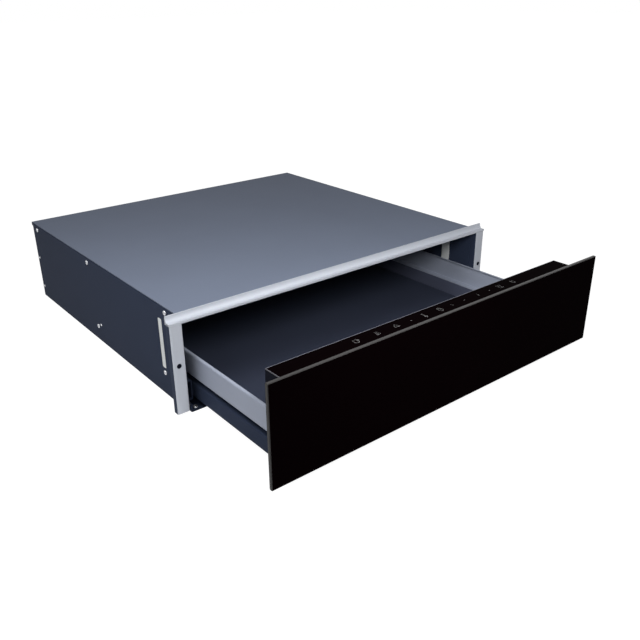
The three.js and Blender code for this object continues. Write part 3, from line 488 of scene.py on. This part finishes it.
SYMBOLS = {                       # each symbol's lines, in millimetres from its middle
    "cup": [
        closed([(-3.4, 2.6), (-3.4, -1.2), (-2.2, -2.6), (1.2, -2.6), (2.4, -1.2), (2.4, 2.6)]),
        arc(2.4, 0.6, 1.6, -90, 90, 10),
    ],
    "plate": [
        steam(-2.0), steam(0.0), steam(2.0),
        closed([(-3.6, -1.2), (3.6, -1.2), (2.2, -2.4), (-2.2, -2.4)]),
    ],
    "cloche": [
        arc(0, -1.5, 3.4, 0, 180, 16),
        [(-4.4, -1.5), (4.4, -1.5)],
        arc(0, 2.5, 0.55, 0, 360, 8),
    ],
    "thermometer": [
        arc(0, -2.3, 1.5, 115, 425, 14),
        [(-0.65, -0.95), (-0.65, 3.4), (0.65, 3.4), (0.65, -0.95)],
    ],
    "clock": [arc(0, 0, 3.2, 0, 360, 22), [(0, 2.1), (0, 0), (1.5, -0.9)]],
    "timer": [
        closed([(-3.0, -3.0), (3.0, -3.0), (3.0, 3.0), (-3.0, 3.0)]),
        [(-1.6, 1.2), (1.6, 1.2)],
        [(-1.6, -0.6), (0.6, -0.6)],
    ],
    "power": [arc(0, 0, 2.7, 120, 420, 18), [(0, 0.6), (0, 3.2)]],
    "minus": [[(-1.8, 0), (1.8, 0)]],
    "plus": [[(-1.8, 0), (1.8, 0)], [(0, -1.8), (0, 1.8)]],
    "tick": [[(-0.9, 1.4), (0.5, -1.4)]],
    "dot": [arc(0, 0, 0.45, 0, 360, 8)],
}
SYMBOL_ROW = [                    # distance across the front, in millimetres
    (-145.2, "cup"), (-111.7, "plate"), (-79.7, "cloche"), (-53.9, "dot"),
    (-30.4, "thermometer"), (-1.2, "clock"), (22.0, "tick"), (45.8, "minus"),
    (74.0, "plus"), (97.4, "dot"), (119.4, "timer"), (147.4, "power"),
]


def touch_symbols():
    """The printed row of symbols, drawn as thin lines just proud of the strip."""
    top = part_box("control_strip")[1]
    row = top.y - SYMBOL_BACK
    curve = bpy.data.curves.new("symbol_lines", "CURVE")
    curve.dimensions = "3D"
    curve.bevel_depth = SYMBOL_STROKE
    curve.bevel_resolution = 1
    curve.use_fill_caps = True
    for across, symbol in SYMBOL_ROW:
        for line in SYMBOLS[symbol]:
            spline = curve.splines.new("POLY")
            spline.points.add(len(line) - 1)
            for point, (x, y) in zip(spline.points, line):
                point.co = ((across + x) * MM, row + y * SYMBOL_DEPTH * MM, 0, 1)
    symbols = bpy.data.objects.new("touch_symbols", curve)
    bpy.context.collection.objects.link(symbols)
    select_only(symbols)
    bpy.ops.object.convert(target="MESH")
    symbols = bpy.context.active_object
    symbols.scale.z = SYMBOL_THICKNESS / SYMBOL_STROKE
    symbols.location.z = top.z
    settle(symbols, "touch_symbols", "drawer", SYMBOL_INK)


# ----------------------------------------------------------------------------- fasteners

def pan_head_screw():
    """A pan-head screw standing on +Z, with a cross recess."""
    screw = new_disc(SCREW_HEAD, SCREW_HEIGHT, vertices=28)
    round_top(screw, SCREW_HEIGHT, SCREW_ROUNDING)
    for turn in (0, QUARTER_TURN):
        arm = new_block((-RECESS_REACH, -RECESS_HALF_WIDTH, SCREW_HEIGHT - RECESS_DEPTH),
                        (RECESS_REACH, RECESS_HALF_WIDTH, SCREW_HEIGHT + CUT_PAST))
        arm.rotation_euler.z = turn
        cut_away(screw, arm)
    return screw


def dome_rivet():
    rivet = new_disc(RIVET_HEAD, RIVET_HEIGHT, vertices=20)
    round_top(rivet, RIVET_HEIGHT, RIVET_ROUNDING)
    return rivet


def set_copy(pattern, name, place, turn):
    """A bright copy of a fastener with its own mesh, turned and set on the housing."""
    piece = pattern.copy()
    piece.data = pattern.data.copy()
    bpy.context.collection.objects.link(piece)
    piece.location = place
    piece.rotation_euler = turn
    settle(piece, name, "housing", FINISHES["bright_steel"])


def side_fasteners(screw, rivet):
    """Screws and rivets on both side panels."""
    low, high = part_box("left_side_panel")[0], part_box("right_side_panel")[1]
    for side, face, turn in (("left", low.x, -QUARTER_TURN), ("right", high.x, QUARTER_TURN)):
        for kind, pattern, places in (("screw", screw, SIDE_SCREWS),
                                      ("rivet", rivet, SIDE_RIVETS)):
            for index, (back, up) in enumerate(places, 1):
                set_copy(pattern, f"{side}_casing_{kind}_{index}",
                         (face, back * MM, up * MM), (0, turn, 0))


def rear_screws(screw):
    """Screws near the corners of the rear panel, and one low in its middle."""
    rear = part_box("rear_panel")[1]
    reach = rear.x - REAR_SCREW_INSET
    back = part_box("left_side_panel")[1].y
    for index, (side, up) in enumerate(REAR_SCREWS, 1):
        set_copy(screw, f"rear_panel_screw_{index}", (side * reach, back, up * MM),
                 (-QUARTER_TURN, 0, 0))


def foot_screws(screw):
    """One bright screw stands on the shelf of each foot bracket, in front of the slide."""
    for side in ("left", "right"):
        low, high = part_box(f"{side}_foot_bracket")
        place = ((low.x + high.x) / 2, low.y + FOOT_SCREW_BACK, low.z + SHEET)
        set_copy(screw, f"{side}_foot_screw", place, (0, 0, 0))


def fasteners():
    screw = pan_head_screw()
    rivet = dome_rivet()
    side_fasteners(screw, rivet)
    rear_screws(screw)
    foot_screws(screw)
    bpy.data.objects.remove(screw)
    bpy.data.objects.remove(rivet)


# --------------------------------------------------------------------- floor, light, view

def seen_directly(tree):
    """One for rays from the camera and for what gloss and glass show, and nought for light."""
    path = node(tree, "ShaderNodeLightPath", (-900, 400))
    total = path.outputs["Is Camera Ray"]
    for kind in ("Is Glossy Ray", "Is Transmission Ray"):
        either = node(tree, "ShaderNodeMath", (-600, 400), operation="MAXIMUM")
        tree.links.new(total, either.inputs[0])
        tree.links.new(path.outputs[kind], either.inputs[1])
        total = either.outputs[0]
    return total


def pale_floor():
    """A pale floor that keeps a soft shadow and shows nearly white to the camera."""
    bpy.ops.object.select_all(action="DESELECT")
    bpy.ops.mesh.primitive_plane_add(size=FLOOR_SIZE,
                                     location=(0, 0, CAD_BOX[0][2] - FLOOR_GAP))
    floor = bpy.context.active_object
    floor.name = "pale_floor"
    bpy.ops.object.transform_apply(location=True, rotation=False, scale=True)
    material = bpy.data.materials.new("pale_floor")
    material.use_nodes = True
    tree = material.node_tree
    tree.nodes.clear()
    output = node(tree, "ShaderNodeOutputMaterial", (600, 0))
    matt = node(tree, "ShaderNodeBsdfDiffuse", (0, 0))
    matt.inputs["Color"].default_value = (FLOOR_GREY, FLOOR_GREY, FLOOR_GREY, 1)
    glow = node(tree, "ShaderNodeEmission", (0, -200))
    glow.inputs["Color"].default_value = (1, 1, 1, 1)
    glow.inputs["Strength"].default_value = FLOOR_GLOW
    shadowed = node(tree, "ShaderNodeMixShader", (200, -100))
    shadowed.inputs["Fac"].default_value = FLOOR_PALENESS
    seen = node(tree, "ShaderNodeMixShader", (400, 0))
    tree.links.new(matt.outputs[0], shadowed.inputs[1])
    tree.links.new(glow.outputs[0], shadowed.inputs[2])
    tree.links.new(seen_directly(tree), seen.inputs["Fac"])
    tree.links.new(matt.outputs[0], seen.inputs[1])
    tree.links.new(shadowed.outputs[0], seen.inputs[2])
    tree.links.new(seen.outputs[0], output.inputs["Surface"])
    floor.data.materials.append(material)


def studio_world():
    """White wherever it is seen, and a weak lamp wherever it only lights."""
    world = bpy.data.worlds.new("studio")
    bpy.context.scene.world = world
    world.use_nodes = True
    tree = world.node_tree
    background = tree.nodes["Background"]
    strength = node(tree, "ShaderNodeMapRange", (-200, 0))
    strength.inputs["To Min"].default_value = WORLD_LIGHT
    strength.inputs["To Max"].default_value = 1.0
    tree.links.new(seen_directly(tree), strength.inputs["Value"])
    tree.links.new(strength.outputs["Result"], background.inputs["Strength"])
    background.inputs["Color"].default_value = (1, 1, 1, 1)


def soft_lamp(name, place, target, size, power):
    """A rectangular lamp that looks at its target and stays out of the picture."""
    data = bpy.data.lights.new(name, "AREA")
    data.shape = "RECTANGLE"
    data.size, data.size_y = size
    data.energy = power
    lamp = bpy.data.objects.new(name, data)
    bpy.context.collection.objects.link(lamp)
    lamp.location = place
    lamp.rotation_euler = (Vector(target) - Vector(place)).to_track_quat("-Z", "Y").to_euler()
    lamp.visible_camera = False


def photograph_camera():
    """The camera at the photograph's place, found by fitting it to the picture."""
    data = bpy.data.cameras.new("photograph_view")
    data.sensor_width = SENSOR_WIDTH
    data.lens = LENS
    data.clip_start = NEAREST_SEEN
    camera = bpy.data.objects.new("photograph_view", data)
    bpy.context.collection.objects.link(camera)
    camera.location = CAMERA_PLACE
    turned = Euler((math.radians(CAMERA_TILT), 0, math.radians(CAMERA_TURN))).to_matrix()
    rolled = turned @ Matrix.Rotation(math.radians(CAMERA_ROLL), 3, "Z")
    camera.rotation_euler = rolled.to_euler()
    bpy.context.scene.camera = camera


dress_frame()
front_glass()
control_strip()
touch_symbols()
fasteners()
pale_floor()
studio_world()
for lamp in LAMPS:
    soft_lamp(*lamp)
photograph_camera()
bpy.context.scene.view_settings.view_transform = "Standard"
